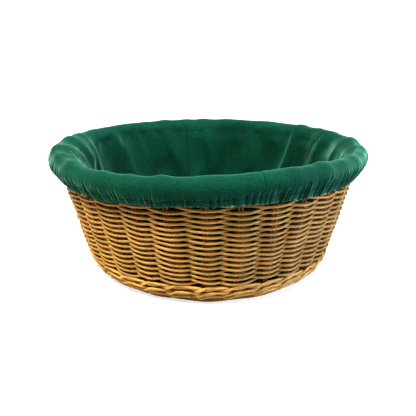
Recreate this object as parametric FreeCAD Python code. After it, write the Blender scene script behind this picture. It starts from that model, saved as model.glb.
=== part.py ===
"""Round wicker bread basket with a lift-out fabric liner. Millimetres, +Z up.

The origin is on the floor, under the basket's centre. The basket stands on its foot ring. Thirty
pairs of stakes rise from a woven base and lean outwards. Weavers go round them in courses, between
a lower and an upper wale, and the rolled border is on top. The liner is sewn from a round panel and
four gores, lies over the border and is gripped below it by an elastic hem.
"""
import FreeCAD, Part
import math
import os

Vector = FreeCAD.Vector
UP = Vector(0, 0, 1)
CENTRE = Vector(0, 0, 0)

# Overall size, over the fabric
OVERALL_DIAMETER = 360.0
ROLL_RADIUS = 10.7            # of the padded-looking roll that the liner makes over the border
ROLL_Z = 131.6                # height of the roll's centre

# Wall
WALL_RADIUS_AT_FLOOR = 132.8  # the stakes' leaning line, carried down to the floor
WALL_SLOPE = 0.262            # outward run per unit of rise
STAKE_COUNT = 30
STAKE_AZIMUTH = 5.0           # of the first stake, in degrees from +X
STAKE_DIAMETER = 2.5
PAIR_SPACING = 3.6            # between a stake and its bye-stake
UPSETT_RADIUS = 14.0          # of the stakes' bend from the base into the wall
STAKE_FOOT_RADIUS = 102.0     # how far in the stakes are pushed into the base
STAKE_TOP_Z = 123.6
BYE_STAKE_BOTTOM_Z = 19.0

# Weaving
WEAVER_DIAMETER = 2.7
STAKE_GAP = 0.15              # between a weaver and the stake that it passes
BUTT_GAP = 0.4                # that each weaver stops short of the middle of its last stake
WALE_RODS = 3
WALE_PITCH = 2.95
LOWER_WALE_ROUNDS = 2
LOWER_WALE_Z = 9.4            # of the lowest rod
ROW_PITCH = 2.85
ROWS = 30
ROW_STAGGER = 11              # stakes from one row's butt to the next one's; odd, so that rows alternate

# Base
BASE_Z = 5.6                  # mid-height of the sticks and the base weave
BASE_AZIMUTH = 2.0            # turns the sticks clear of the stakes' feet
BASE_GAP = 0.2                # between the sticks and the rounds of cane on each side
BASE_WEAVE_INNER_RADIUS = 27.0
BASE_RODS = 32                # rounds of cane that show on each side of the base
BASE_ROD_PITCH = 3.0
BASE_ROD_CROWN = 1.2          # how far a round stands out of the weave's mid-body
BASE_WEAVE_HALF_BODY = 3.0
STICK_DIAMETER = 3.4
STICKS_PER_WAY = 5
STICK_SPACING = 4.5
STICK_FAN = 18.0              # degrees between two neighbouring spokes
STICK_BEND_AT = 16.0
STICK_BEND_RADIUS = 12.0
SLIT_BLOCK = (30.0, 4.0, 8.4)
SLIT_HOLE = (23.5, 6.0, 3.8)
BINDING_DIAMETER = 2.4
BINDING_HALF_SIZE = 20.0
BINDING_STRAIGHT = 13.0
BINDING_LIFT = 3.1
BINDING_BEND_RADIUS = 3.5
FOOT_RING_RADIUS = 125.4
FOOT_RING_SECTION = 2.0
FOOT_RING_Z = 1.85            # a little less than the section, which leaves a narrow flat to stand on

# Border
BORDER_STRANDS = 3
STRAND_RADIUS = 4.1
STRAND_OFFSET = 4.9           # of each strand's centre from the roll's centre

# Liner
CLOTH = 1.2                   # thickness of the cloth and its turnings
LINER_CLEARANCE = 0.7         # between the cloth and the weavers
LINER_FLOOR_Z = 10.2
LINER_FLOOR_RADIUS = 118.0
LINER_CORNER_RADIUS = 9.0
SEAM_AZIMUTHS = (-74.0, 22.0, 102.0, 192.0)
SEAM_GAP = 0.3
THREAD_DIAMETER = 0.7
HEM_Z = 113.2
HEM_LAYER = 0.8
HEM_TURN = 6.0                # height over which the gathers close in from the casing to the roll
ELASTIC_THICKNESS = 1.0
ELASTIC_WIDTH = 6.0
ELASTIC_GAP = 0.1

ROLL_CENTRE_RADIUS = OVERALL_DIAMETER / 2 - ROLL_RADIUS
LEAN = math.atan(WALL_SLOPE)
STAKE_STEP = 360.0 / STAKE_COUNT
# A weaver's centreline stands this far off the stakes' centreline.
WEAVE_OFFSET = (STAKE_DIAMETER + WEAVER_DIAMETER) / 2 + STAKE_GAP


def wall_radius(z):
    """Radius of the stakes' leaning line at a height."""
    return WALL_RADIUS_AT_FLOOR + WALL_SLOPE * z


def polar(radius, azimuth, z):
    """The point at a radius, an azimuth in degrees and a height."""
    angle = math.radians(azimuth)
    return Vector(radius * math.cos(angle), radius * math.sin(angle), z)


def ring_of(shape, count, step):
    """Copies of a shape, turned about the basket's axis."""
    copies = []
    for i in range(count):
        turned = shape.copy()
        turned.rotate(CENTRE, UP, i * step)
        copies.append(turned)
    return copies


def sweep(edges, diameter):
    """A round rod along edges that follow on from each other."""
    wire = Part.Wire(edges)
    first = wire.OrderedEdges[0]
    start = first.valueAt(first.FirstParameter)
    tangent = first.tangentAt(first.FirstParameter)
    profile = Part.Face(Part.Wire([Part.makeCircle(diameter / 2, start, tangent)]))
    return wire.makePipe(profile)


def rounded_edges(points, radius, closed=False):
    """Straight runs through points, with an arc of one radius at each corner."""
    count = len(points)
    corners = range(count) if closed else range(1, count - 1)
    trims = {}
    for i in corners:
        before = (points[i - 1] - points[i]).normalize()
        after = (points[(i + 1) % count] - points[i]).normalize()
        inside = before.getAngle(after)
        if math.pi - inside < 1e-6:
            continue
        reach = radius / math.tan(inside / 2)
        middle = (before + after).normalize()
        crown = points[i] + middle * (radius / math.sin(inside / 2) - radius)
        trims[i] = (points[i] + before * reach, crown, points[i] + after * reach)
    edges = []
    for i in range(count if closed else count - 1):
        j = (i + 1) % count
        start = trims[i][2] if i in trims else points[i]
        end = trims[j][0] if j in trims else points[j]
        edges.append(Part.LineSegment(start, end).toShape())
        if j in trims:
            edges.append(Part.Arc(*trims[j]).toShape())
    return edges


def revolve(edges, azimuth=0.0, sweep_degrees=360.0):
    """A closed outline in the XZ plane, turned about the axis from an azimuth."""
    solid = Part.Face(Part.Wire(edges)).revolve(CENTRE, UP, sweep_degrees)
    solid.rotate(CENTRE, UP, azimuth)
    return solid


def line(a, b):
    return Part.LineSegment(Vector(a[0], 0, a[1]), Vector(b[0], 0, b[1])).toShape()


def arc(a, b, c):
    """An arc through three (radius, height) points."""
    return Part.Arc(*[Vector(p[0], 0, p[1]) for p in (a, b, c)]).toShape()


# Stakes

def stake_path():
    """The side stake's centreline at azimuth 0: out along the base, and up the wall."""
    points = [
        Vector(STAKE_FOOT_RADIUS, 0, BASE_Z),
        Vector(wall_radius(BASE_Z), 0, BASE_Z),
        Vector(wall_radius(STAKE_TOP_Z), 0, STAKE_TOP_Z),
    ]
    return rounded_edges(points, UPSETT_RADIUS)


def side_stakes():
    stake = sweep(stake_path(), STAKE_DIAMETER)
    stake.translate(Vector(0, -PAIR_SPACING / 2, 0))
    stake.rotate(CENTRE, UP, STAKE_AZIMUTH)
    return ring_of(stake, STAKE_COUNT, STAKE_STEP)


def bye_stakes():
    low = Vector(wall_radius(BYE_STAKE_BOTTOM_Z), 0, BYE_STAKE_BOTTOM_Z)
    high = Vector(wall_radius(STAKE_TOP_Z), 0, STAKE_TOP_Z)
    stake = Part.makeCylinder(STAKE_DIAMETER / 2, (high - low).Length, low, high - low)
    stake.translate(Vector(0, PAIR_SPACING / 2, 0))
    stake.rotate(CENTRE, UP, STAKE_AZIMUTH)
    return ring_of(stake, STAKE_COUNT, STAKE_STEP)


# Weavers

def bend_centre():
    """(radius, height) of the middle of the stakes' bend, and the height where it ends."""
    turn = math.pi / 2 - LEAN
    reach = UPSETT_RADIUS * math.tan(turn / 2)
    radius = wall_radius(BASE_Z) - reach
    return radius, BASE_Z + UPSETT_RADIUS, BASE_Z + reach * math.cos(LEAN)


def weave_band(z):
    """(middle radius, half width) of the band that a weaver at this height moves in."""
    bend_radius, bend_z, bend_end = bend_centre()
    if z > bend_end:
        return wall_radius(z), WEAVE_OFFSET / math.cos(LEAN)
    drop = bend_z - z
    inner = bend_radius + math.sqrt((UPSETT_RADIUS - WEAVE_OFFSET) ** 2 - drop ** 2)
    outer = bend_radius + math.sqrt((UPSETT_RADIUS + WEAVE_OFFSET) ** 2 - drop ** 2)
    return (inner + outer) / 2, (outer - inner) / 2


def outward_reach(radius, inward):
    """How far outwards a wave of tangent arcs goes, when it goes this far inwards."""
    half_step = math.radians(STAKE_STEP / 2)
    half_chord = radius * math.sin(half_step)
    sag = radius * (1 - math.cos(half_step))
    inward_angle = 2 * math.atan((inward - sag) / half_chord)
    outward_angle = inward_angle + 2 * half_step
    return half_chord * math.tan(outward_angle / 2) - sag


def weave_ring(z, sides, first_stake, diameter=WEAVER_DIAMETER):
    """One round of cane at a height, past each stake on the side given: 1 outside, -1 inside.

    It starts and ends inside its first stake, where the two ends butt.
    """
    middle_radius, inward = weave_band(z)
    reach = {1: outward_reach(middle_radius, inward), -1: -inward}

    def at_stake(i, side):
        return polar(middle_radius + reach[side], STAKE_AZIMUTH + (first_stake + i) * STAKE_STEP, z)

    def between(i):
        return polar(middle_radius, STAKE_AZIMUTH + (first_stake + i) * STAKE_STEP, z)

    edges = []
    for i, side in enumerate(sides):
        crown = at_stake(i, side)
        wave = Part.Arc(between(i - 0.5), crown, between(i + 0.5)).toShape().Curve
        middle = wave.parameter(crown)
        half = wave.parameter(between(i + 0.5)) - middle
        start = -half
        end = half
        if i == 0:
            start = BUTT_GAP / wave.Radius * math.copysign(1, half)
        elif sides[i - 1] == side:
            start = 0
        if i == STAKE_COUNT:
            end = -BUTT_GAP / wave.Radius * math.copysign(1, half)
        elif sides[i + 1] == side:
            end = 0
        if start != end:
            edges.append(Part.ArcOfCircle(wave, middle + start, middle + end).toShape())
        if i < STAKE_COUNT and sides[i + 1] == side:
            over_gap = at_stake(i + 0.5, side)
            edges.append(Part.Arc(crown, over_gap, at_stake(i + 1, side)).toShape())
    return sweep(edges, diameter)


def wale_ring(z, first_stake):
    """A wale rod's round: outside two stakes and inside one, all the way round."""
    sides = [-1 if i % WALE_RODS == 0 else 1 for i in range(STAKE_COUNT + 1)]
    return weave_ring(z, sides, first_stake)


def lower_wale_rod(rod):
    """The rounds of one of the lower wale's rods."""
    rounds = []
    for i in range(LOWER_WALE_ROUNDS):
        z = LOWER_WALE_Z + (rod + i * WALE_RODS) * WALE_PITCH
        rounds.append(wale_ring(z, rod + i * 4 * WALE_RODS))
    return rounds


def siding_z(row):
    return LOWER_WALE_Z + WALE_RODS * LOWER_WALE_ROUNDS * WALE_PITCH + row * ROW_PITCH


def siding_weaver(row):
    """One course of the siding, in and out. The next course goes out and in."""
    sides = [-1 if i % 2 == 0 else 1 for i in range(STAKE_COUNT + 1)]
    return weave_ring(siding_z(row), sides, row * ROW_STAGGER)


def upper_wale_rod(rod):
    return wale_ring(siding_z(ROWS - 1) + (rod + 1) * WALE_PITCH, rod)


# Base

def stick_points(index):
    """A base stick along X: straight through the cross, and fanned out at both ends."""
    y = index * STICK_SPACING
    angle = math.radians(index * STICK_FAN)
    reach = BASE_WEAVE_INNER_RADIUS + BASE_RODS * BASE_ROD_PITCH
    x_end = reach * math.cos(angle)
    y_end = reach * math.sin(angle)
    return [
        Vector(-x_end, y_end, BASE_Z),
        Vector(-STICK_BEND_AT, y, BASE_Z),
        Vector(STICK_BEND_AT, y, BASE_Z),
        Vector(x_end, y_end, BASE_Z),
    ]


def base_stick(index):
    return sweep(rounded_edges(stick_points(index), STICK_BEND_RADIUS), STICK_DIAMETER)


def through_stick(index):
    stick = base_stick(index)
    stick.rotate(CENTRE, UP, BASE_AZIMUTH + 90)
    return stick


def box_about(size, centre):
    corner = centre - Vector(*size) * 0.5
    return Part.makeBox(*size, corner)


def slit_stick(index):
    """A stick with the slit in its middle that the crossing sticks go through."""
    middle = Vector(0, index * STICK_SPACING, BASE_Z)
    stick = base_stick(index).fuse(box_about(SLIT_BLOCK, middle)).cut(box_about(SLIT_HOLE, middle))
    stick.rotate(CENTRE, UP, BASE_AZIMUTH)
    return stick


def stick_indices():
    half = STICKS_PER_WAY // 2
    return range(-half, half + 1)


def slath_binding():
    """The cane that ties the cross: over the slit sticks and under the through sticks."""
    far = BINDING_HALF_SIZE
    near = BINDING_STRAIGHT
    high = BASE_Z + BINDING_LIFT
    low = BASE_Z - BINDING_LIFT
    points = [
        Vector(far, -near, high), Vector(far, near, high),
        Vector(near, far, low), Vector(-near, far, low),
        Vector(-far, near, high), Vector(-far, -near, high),
        Vector(-near, -far, low), Vector(near, -far, low),
    ]
    tie = sweep(rounded_edges(points, BINDING_BEND_RADIUS, closed=True), BINDING_DIAMETER)
    tie.rotate(CENTRE, UP, BASE_AZIMUTH)
    return tie


def base_weave_face(side):
    """The rounds of cane on one face of the base: side is 1 on top and -1 underneath."""
    flat_z = BASE_Z + side * (STICK_DIAMETER / 2 + BASE_GAP)
    round_z = BASE_Z + side * BASE_WEAVE_HALF_BODY
    radii = [BASE_WEAVE_INNER_RADIUS + i * BASE_ROD_PITCH for i in range(BASE_RODS + 1)]
    outline = []
    for a, b in zip(radii, radii[1:]):
        crown = ((a + b) / 2, round_z + side * BASE_ROD_CROWN)
        outline.append(arc((a, round_z), crown, (b, round_z)))
    outline.append(line((radii[-1], round_z), (radii[-1], flat_z)))
    outline.append(line((radii[-1], flat_z), (radii[0], flat_z)))
    outline.append(line((radii[0], flat_z), (radii[0], round_z)))
    return revolve(outline)


def foot_ring():
    """The cane under the stakes' bends, worn flat where it stands."""
    ring = Part.makeTorus(FOOT_RING_RADIUS, FOOT_RING_SECTION, Vector(0, 0, FOOT_RING_Z))
    side = 2 * FOOT_RING_RADIUS + 20
    floor = Part.makeBox(side, side, 10, Vector(-side / 2, -side / 2, -10))
    return ring.cut(floor)


# Border

def border_strand(index):
    angle = math.radians(90 + 360 / BORDER_STRANDS * index)
    radius = ROLL_CENTRE_RADIUS + STRAND_OFFSET * math.cos(angle)
    z = ROLL_Z + STRAND_OFFSET * math.sin(angle)
    return Part.makeTorus(radius, STRAND_RADIUS, Vector(0, 0, z))


# Liner

def liner_wall_radius(z, inset):
    """Radius of the liner's outer face, or of a face a little further in."""
    offset = (WEAVE_OFFSET + WEAVER_DIAMETER / 2 + LINER_CLEARANCE + inset) / math.cos(LEAN)
    return wall_radius(z) - offset


def roll_point(degrees, inset):
    """A point on the roll, by its angle above the horizontal, seen from the roll's centre."""
    radius = ROLL_RADIUS - inset
    angle = math.radians(degrees)
    return ROLL_CENTRE_RADIUS + radius * math.cos(angle), ROLL_Z + radius * math.sin(angle)


def gore_face(inset):
    """One face of a gore, this far in from the weave, from the floor seam to the roll's widest part.

    The cloth turns over at the border, so the face that is nearest the weave lies on the border.
    """
    floor_z = LINER_FLOOR_Z + inset
    roll_inset = CLOTH - inset
    join = roll_point(180, roll_inset)
    wall_top_z = join[1] - 2 * ROLL_RADIUS / 3
    points = [
        Vector(LINER_FLOOR_RADIUS + SEAM_GAP, 0, floor_z),
        Vector(liner_wall_radius(floor_z, inset), 0, floor_z),
        Vector(liner_wall_radius(wall_top_z, inset), 0, wall_top_z),
    ]
    edges = rounded_edges(points, LINER_CORNER_RADIUS - inset)
    edges.append(line((points[-1].x, wall_top_z), join))
    edges.append(arc(join, roll_point(90, roll_inset), roll_point(0, roll_inset)))
    return edges


def liner_gore(index):
    """One of the four cloth panels of the wall, which carries on over the border."""
    start = SEAM_AZIMUTHS[index]
    end = (SEAM_AZIMUTHS + (SEAM_AZIMUTHS[0] + 360,))[index + 1]
    gap = math.degrees(SEAM_GAP / ROLL_CENTRE_RADIUS)
    floor_edge = LINER_FLOOR_RADIUS + SEAM_GAP
    outline = gore_face(0) + gore_face(CLOTH)
    outline.append(line((floor_edge, LINER_FLOOR_Z), (floor_edge, LINER_FLOOR_Z + CLOTH)))
    outline.append(line(roll_point(0, 0), roll_point(0, CLOTH)))
    return revolve(Part.sortEdges(outline)[0], start + gap / 2, end - start - gap)


def liner_floor():
    return Part.makeCylinder(LINER_FLOOR_RADIUS, CLOTH, Vector(0, 0, LINER_FLOOR_Z))


def hem_inner_radius(z):
    """The hem's inner face, which rests on the outside of the weave."""
    offset = (WEAVE_OFFSET + WEAVER_DIAMETER / 2 + 2 * STAKE_GAP) / math.cos(LEAN)
    return wall_radius(z) + offset


def liner_skirt():
    """The gathered cloth under the roll, turned up inside at the hem as a casing for the elastic."""
    slot = ELASTIC_THICKNESS + 2 * ELASTIC_GAP
    start_angle = -math.degrees(SEAM_GAP / ROLL_RADIUS)
    end_angle = -60.0
    middle_angle = (start_angle + end_angle) / 2

    def on_wall(z, offset):
        return hem_inner_radius(z) + offset, z

    def on_roll(inset):
        return [roll_point(angle, inset) for angle in (start_angle, middle_angle, end_angle)]

    outside = 2 * HEM_LAYER + slot
    seam_z = HEM_Z + HEM_LAYER
    turn_z = ROLL_Z - ROLL_RADIUS - HEM_TURN / 2
    free_z = seam_z + ELASTIC_WIDTH + HEM_LAYER
    cloth_outside = on_roll(0)
    cloth_inside = on_roll(HEM_LAYER)
    casing = [
        cloth_outside[2],
        on_wall(turn_z, outside),
        on_wall(HEM_Z, outside),
        on_wall(HEM_Z, 0),
        on_wall(free_z, 0),
        on_wall(free_z, HEM_LAYER),
        on_wall(seam_z, HEM_LAYER),
        on_wall(seam_z, HEM_LAYER + slot),
        on_wall(turn_z, HEM_LAYER + slot),
        cloth_inside[2],
    ]
    outline = [arc(*cloth_outside)]
    outline += [line(a, b) for a, b in zip(casing, casing[1:])]
    outline += [arc(*cloth_inside[::-1]), line(cloth_inside[0], cloth_outside[0])]
    return revolve(outline)


def hem_elastic():
    inner = HEM_LAYER + ELASTIC_GAP
    low = HEM_Z + HEM_LAYER + ELASTIC_GAP
    high = low + ELASTIC_WIDTH
    corners = [
        (hem_inner_radius(low) + inner, low),
        (hem_inner_radius(low) + inner + ELASTIC_THICKNESS, low),
        (hem_inner_radius(high) + inner + ELASTIC_THICKNESS, high),
        (hem_inner_radius(high) + inner, high),
    ]
    return revolve([line(a, b) for a, b in zip(corners, corners[1:] + corners[:1])])


def seam_threads():
    """The stitching along each gore seam, on the inside of the liner."""
    threads = []
    inset = CLOTH + 0.6 * THREAD_DIAMETER
    low_z = LINER_FLOOR_Z + 2 * LINER_CORNER_RADIUS
    high_z = ROLL_Z - ROLL_RADIUS
    for azimuth in SEAM_AZIMUTHS:
        low = polar(liner_wall_radius(low_z, inset), azimuth, low_z)
        high = polar(liner_wall_radius(high_z, inset), azimuth, high_z)
        threads.append(Part.makeCylinder(THREAD_DIAMETER / 2, (high - low).Length, low, high - low))
    return threads


def export(name, solids):
    """Writes one node, after checking that each of its solids is sound."""
    solids = solids if isinstance(solids, list) else [solids]
    flat = [solid for shape in solids for solid in shape.Solids]
    for solid in flat:
        if not solid.isValid() or solid.Volume <= 0:
            raise ValueError(name + " has an unsound solid")
    shape = flat[0] if len(flat) == 1 else Part.makeCompound(flat)
    shape.exportStep("parts/" + name + ".step")
    print(name, len(flat), round(sum(solid.Volume for solid in flat), 1))


def main():
    os.makedirs("parts", exist_ok=True)
    export("base_sticks_slit", [slit_stick(i) for i in stick_indices()])
    export("base_sticks_through", [through_stick(i) for i in stick_indices()])
    export("base_cross_binding", slath_binding())
    export("base_weave", [base_weave_face(1), base_weave_face(-1)])
    export("foot_ring", foot_ring())
    export("side_stakes", side_stakes())
    export("bye_stakes", bye_stakes())
    for rod in range(WALE_RODS):
        export("lower_wale_rod_%d" % (rod + 1), lower_wale_rod(rod))
        export("upper_wale_rod_%d" % (rod + 1), upper_wale_rod(rod))
    for row in range(ROWS):
        export("siding_weaver_%02d" % (row + 1), siding_weaver(row))
    for index in range(BORDER_STRANDS):
        export("border_strand_%d" % (index + 1), border_strand(index))
    export("liner_floor_panel", liner_floor())
    for index in range(len(SEAM_AZIMUTHS)):
        export("liner_gore_%d" % (index + 1), liner_gore(index))
    export("liner_skirt", liner_skirt())
    export("hem_elastic", hem_elastic())
    export("liner_seam_threads", seam_threads())


main()
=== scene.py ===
"""Looks for the lined wicker basket: woven cane, sewn and gathered cloth, and a plain pale studio.

Metres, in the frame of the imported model: +Z up, -Y towards the front. Azimuths are in degrees from
+X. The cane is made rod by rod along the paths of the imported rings, with the unevenness of handwork.
The liner is one sheet of cloth in four gores, from the floor seam over the border to the hem, with
its folds, seams and gathers.
"""
import math

import bmesh
import bpy
import numpy as np
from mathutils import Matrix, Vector


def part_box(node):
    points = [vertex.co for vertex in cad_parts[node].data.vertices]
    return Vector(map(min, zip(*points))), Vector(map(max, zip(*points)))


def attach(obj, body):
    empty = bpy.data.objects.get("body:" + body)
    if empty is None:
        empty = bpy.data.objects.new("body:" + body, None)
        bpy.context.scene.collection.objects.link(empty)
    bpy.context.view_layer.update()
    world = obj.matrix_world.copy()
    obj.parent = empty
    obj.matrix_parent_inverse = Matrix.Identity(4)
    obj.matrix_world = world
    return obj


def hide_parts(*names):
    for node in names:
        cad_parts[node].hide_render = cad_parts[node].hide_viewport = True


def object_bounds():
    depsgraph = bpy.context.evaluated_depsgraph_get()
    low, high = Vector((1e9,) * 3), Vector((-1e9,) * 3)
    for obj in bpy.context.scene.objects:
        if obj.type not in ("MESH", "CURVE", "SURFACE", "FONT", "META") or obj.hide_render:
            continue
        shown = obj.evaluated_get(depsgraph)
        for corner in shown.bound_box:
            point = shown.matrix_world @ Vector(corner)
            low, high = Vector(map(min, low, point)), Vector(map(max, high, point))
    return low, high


MM = 0.001

# Weave
STAKES = 30
STAKE_AZIMUTH = 5.0
STAKE_STEP = 360.0 / STAKES
STAKE_RADIUS = 1.15 * MM
PAIR_SPACING = 3.2 * MM
STAKE_FOOT = 20 * MM          # that a side stake goes into the base
STAKE_DRIFT = 0.32            # degrees that a stake wanders off its place
UPSETT_RADIUS = 20.0 * MM
WEAVER_RADIUS = 1.42 * MM
PACKED_WEAVER_RADIUS = 1.35 * MM
WALE_RADIUS = 1.5 * MM
WALE_BAND = 7.0 * MM          # height of one round of three rods
LOWER_WALE_ROUNDS = 3
UPPER_WALE_LIFT = 2.2 * MM    # it is pressed up against the border, out of sight under the hem
ROWS = 30
ROW_STAGGER = 11              # stakes from one row's butt to the next one's
BUTT_GAP = 0.32               # degrees between the two ends of a rod that goes once round
EXTRA_REACH = 0.7 * MM        # that real cane springs past the stakes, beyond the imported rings
STROKE_SAG = 0.85 * MM        # how far a stroke is pressed down where it passes outside a stake
STROKE_SLANT = 0.6 * MM       # how much lower a stroke's outer part ends than it starts
TWIST = 1.6                   # degrees that the stakes drift round between the top and the bottom

# Border
BORDER_CANES_PER_STAKE = 3
BORDER_STEPS = 5              # stakes that a border cane passes on its way round the rim
BORDER_CANE_RADIUS = 1.45 * MM
BORDER_START = 235            # degrees round the roll's section where a cane comes up
BORDER_ROOM = 0.5 * MM        # between the border and the cloth
PACKED_CLOTH = 1.2 * MM

# Base
SPOKES = 20
BASE_AZIMUTH = 2.0
BASE_ROUNDS = 32
BASE_CANE_RADIUS = 1.28 * MM

# Liner
SEAMS = (-74.0, 22.0, 102.0, 192.0)
CLOTH = 0.8 * MM
COARSE_COLUMNS = 360          # of the grid that the cloth settles on first
FINE = 4                      # columns of the fine grid in one of the coarse grid
SETTLE_STEPS = 260
ROLL_LUMPS = 0.5 * MM         # unevenness of the roll under the cloth
GRAVITY = 0.012 * MM          # how far the cloth drops in one step of its settling
MOMENTUM = 0.90               # share of its speed that it keeps from one step to the next
STRETCH = 0.25                # share of a length's error that each of its ends takes up at a time
SHEAR = 0.125
BENDING = 0.1
FLOOR_SHIFT = 5.0             # degrees that the floor seam is turned towards the back
FLOOR_COLUMNS = 240
FLOOR_ROWS = 30
DITCH_DEPTH = 0.55 * MM       # of the seams and of the hem's stitch line
DITCH_WIDTH = 1.3 * MM
ELASTIC_ROOM = 1.0 * MM
NORMAL_PASSES = 40            # that take the gathers out of the hem's normals
GATHERS = 172                 # round the hem
GATHER_DEPTH = 0.9 * MM
THREAD_RADIUS = 0.26 * MM
THREAD_SIDES = 5
STITCH_LENGTH = 2.3 * MM
STITCH_PITCH = 3.0 * MM

# Camera
CAMERA_PLACE = (0.0, -0.612, 0.257)
CAMERA_PITCH = 17.9           # degrees below the horizontal
CAMERA_LENS = 45.87
SENSOR = 36.0

# Light
SOFT_LIGHT = 0.06             # from all round

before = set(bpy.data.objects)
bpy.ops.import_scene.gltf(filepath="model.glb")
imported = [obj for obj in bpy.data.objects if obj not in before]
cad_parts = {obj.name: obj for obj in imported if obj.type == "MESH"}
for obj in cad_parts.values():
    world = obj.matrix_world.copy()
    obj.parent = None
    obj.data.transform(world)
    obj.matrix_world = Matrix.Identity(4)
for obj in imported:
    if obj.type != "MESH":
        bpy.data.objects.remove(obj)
cad_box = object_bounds()


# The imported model's measures

def radii(node):
    """(least, greatest) distance of a node's surface from the basket's axis."""
    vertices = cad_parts[node].data.vertices
    points = np.empty(len(vertices) * 3)
    vertices.foreach_get("co", points)
    reach = np.hypot(points[0::3], points[1::3])
    return reach.min(), reach.max()


def middle_z(node):
    low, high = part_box(node)
    return (low[2] + high[2]) / 2


def weaver_name(row):
    return "siding_weaver_%02d" % (row + 1)


def middle_radius(node):
    return sum(radii(node)) / 2


LOW_RING = weaver_name(0)
HIGH_RING = weaver_name(ROWS - 1)
WALL_SLOPE = ((middle_radius(HIGH_RING) - middle_radius(LOW_RING))
              / (middle_z(HIGH_RING) - middle_z(LOW_RING)))
WALL_AT_FLOOR = middle_radius(LOW_RING) - WALL_SLOPE * middle_z(LOW_RING)
WEAVE_REACH = (radii(LOW_RING)[1] - radii(LOW_RING)[0]) / 2 - PACKED_WEAVER_RADIUS + EXTRA_REACH
LEAN = math.atan(WALL_SLOPE)
BEND_TURN = math.pi / 2 - LEAN      # from level up to the wall
BASE_Z = middle_z("base_sticks_through")
WALL_TOP_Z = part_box("side_stakes")[1][2]
ROLL_TOP_Z = cad_box[1][2]
ROLL_OUTER_RADIUS = (cad_box[1][0] - cad_box[0][0]) / 2
ROLL_RADIUS = ROLL_TOP_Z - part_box("liner_skirt")[1][2]
ROLL_Z = ROLL_TOP_Z - ROLL_RADIUS
ROLL_CENTRE_RADIUS = ROLL_OUTER_RADIUS - ROLL_RADIUS
FLOOR_PANEL_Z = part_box("liner_floor_panel")[0][2]
FLOOR_PANEL_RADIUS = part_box("liner_floor_panel")[1][0]
HEM_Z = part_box("liner_skirt")[0][2]


def wall_radius(z):
    return WALL_AT_FLOOR + WALL_SLOPE * z


# Unevenness

class Waves:
    """A smooth random field over (azimuth, height or length), periodic in azimuth."""

    def __init__(self, seed, count, around, along):
        """around and along are the (least, greatest) number of waves in a turn, and per metre."""
        random = np.random.default_rng(seed)
        self.around = random.integers(around[0], around[1] + 1, count)
        self.along = random.uniform(along[0], along[1], count) * random.choice((-1, 1), count)
        self.phase = random.uniform(0, 2 * math.pi, count)
        self.share = random.uniform(0.5, 1.0, count)
        self.share /= math.sqrt((self.share ** 2).sum() / 2)

    def __call__(self, azimuth, along):
        """Values of about -2 to 2, with a mean of 0 and a spread of 1."""
        turn = np.radians(azimuth)
        total = np.zeros(np.broadcast(azimuth, along).shape)
        for k, m, phase, share in zip(self.around, self.along, self.phase, self.share):
            total += share * np.cos(k * turn + 2 * math.pi * m * along + phase)
        return total


stake_drift = Waves(3, 9, (4, 15), (0, 9))
row_drift = Waves(5, 12, (2, 14), (0, 22))
row_jitter = Waves(7, 14, (9, 34), (150, 340))
bulge_jitter = Waves(11, 12, (10, 30), (150, 340))


def twist(z):
    """Degrees that the stakes have drifted round at a height."""
    return TWIST * (0.5 - z / WALL_TOP_Z)


def stake_azimuth(stake, z):
    """A stake's azimuth at a height. The stakes lean a little and drift round."""
    plain = STAKE_AZIMUTH + stake * STAKE_STEP
    return plain + twist(z) + STAKE_DRIFT * stake_drift(plain, z)


def stake_count_at(azimuth, z):
    """The azimuth counted in stakes, so that whole numbers are on the stakes."""
    straight = azimuth - twist(z)
    plain = straight - STAKE_DRIFT * stake_drift(straight, z)
    return (plain - STAKE_AZIMUTH) / STAKE_STEP


# Meshes

def polar(radius, azimuth, z):
    turn = np.radians(azimuth)
    return np.stack(np.broadcast_arrays(radius * np.cos(turn), radius * np.sin(turn), z), axis=-1)


def lengths_to(line):
    """The length along a line of points, up to each of them."""
    steps = np.linalg.norm(np.diff(line, axis=0), axis=1)
    return np.concatenate([[0], np.cumsum(steps)])


def tube_frames(points):
    """A normal and a binormal at each point, carried along the line without twisting."""
    tangents = np.gradient(points, axis=0)
    tangents /= np.linalg.norm(tangents, axis=1)[:, None]
    normals = np.empty_like(points)
    start = np.cross(tangents[0], (0, 0, 1))
    if np.linalg.norm(start) < 0.1:
        start = np.cross(tangents[0], (1, 0, 0))
    normals[0] = start / np.linalg.norm(start)
    for i in range(1, len(points)):
        normal = normals[i - 1] - tangents[i] * np.dot(normals[i - 1], tangents[i])
        normals[i] = normal / np.linalg.norm(normal)
    return normals, np.cross(tangents, normals)


def rods(name, lines, sides=8):
    """One mesh of round rods. Each line is (points, radius, tint); a radius may vary along it.

    The UV map holds the fraction round the rod and the length along it in metres, and the
    attribute "tint" is one value from 0 to 1 for each rod.
    """
    vertices = []
    faces = []
    uvs = []
    tints = []
    count = 0
    for points, radius, tint in lines:
        points = np.asarray(points, dtype=float)
        size = np.broadcast_to(radius, len(points))[:, None, None]
        normals, binormals = tube_frames(points)
        turn = np.linspace(0, 2 * math.pi, sides, endpoint=False)[None, :, None]
        outward = np.cos(turn) * normals[:, None] + np.sin(turn) * binormals[:, None]
        vertices.append((points[:, None] + size * outward).reshape(-1, 3))
        length = lengths_to(points)
        for i in range(len(points) - 1):
            for j in range(sides):
                k = (j + 1) % sides
                a = count + i * sides
                b = a + sides
                faces.append((a + j, b + j, b + k, a + k))
                left, right = j / sides, (j + 1) / sides
                near, far = length[i], length[i + 1]
                uvs += [(left, near), (left, far), (right, far), (right, near)]
        last = count + (len(points) - 1) * sides
        faces.append(tuple(range(count, count + sides)))
        faces.append(tuple(range(last + sides - 1, last - 1, -1)))
        uvs += [(0.5, 0.0)] * sides + [(0.5, length[-1])] * sides
        tints += [tint] * (len(points) * sides)
        count += len(points) * sides
    return mesh_object(name, np.concatenate(vertices), faces, uvs, tints)


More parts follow.
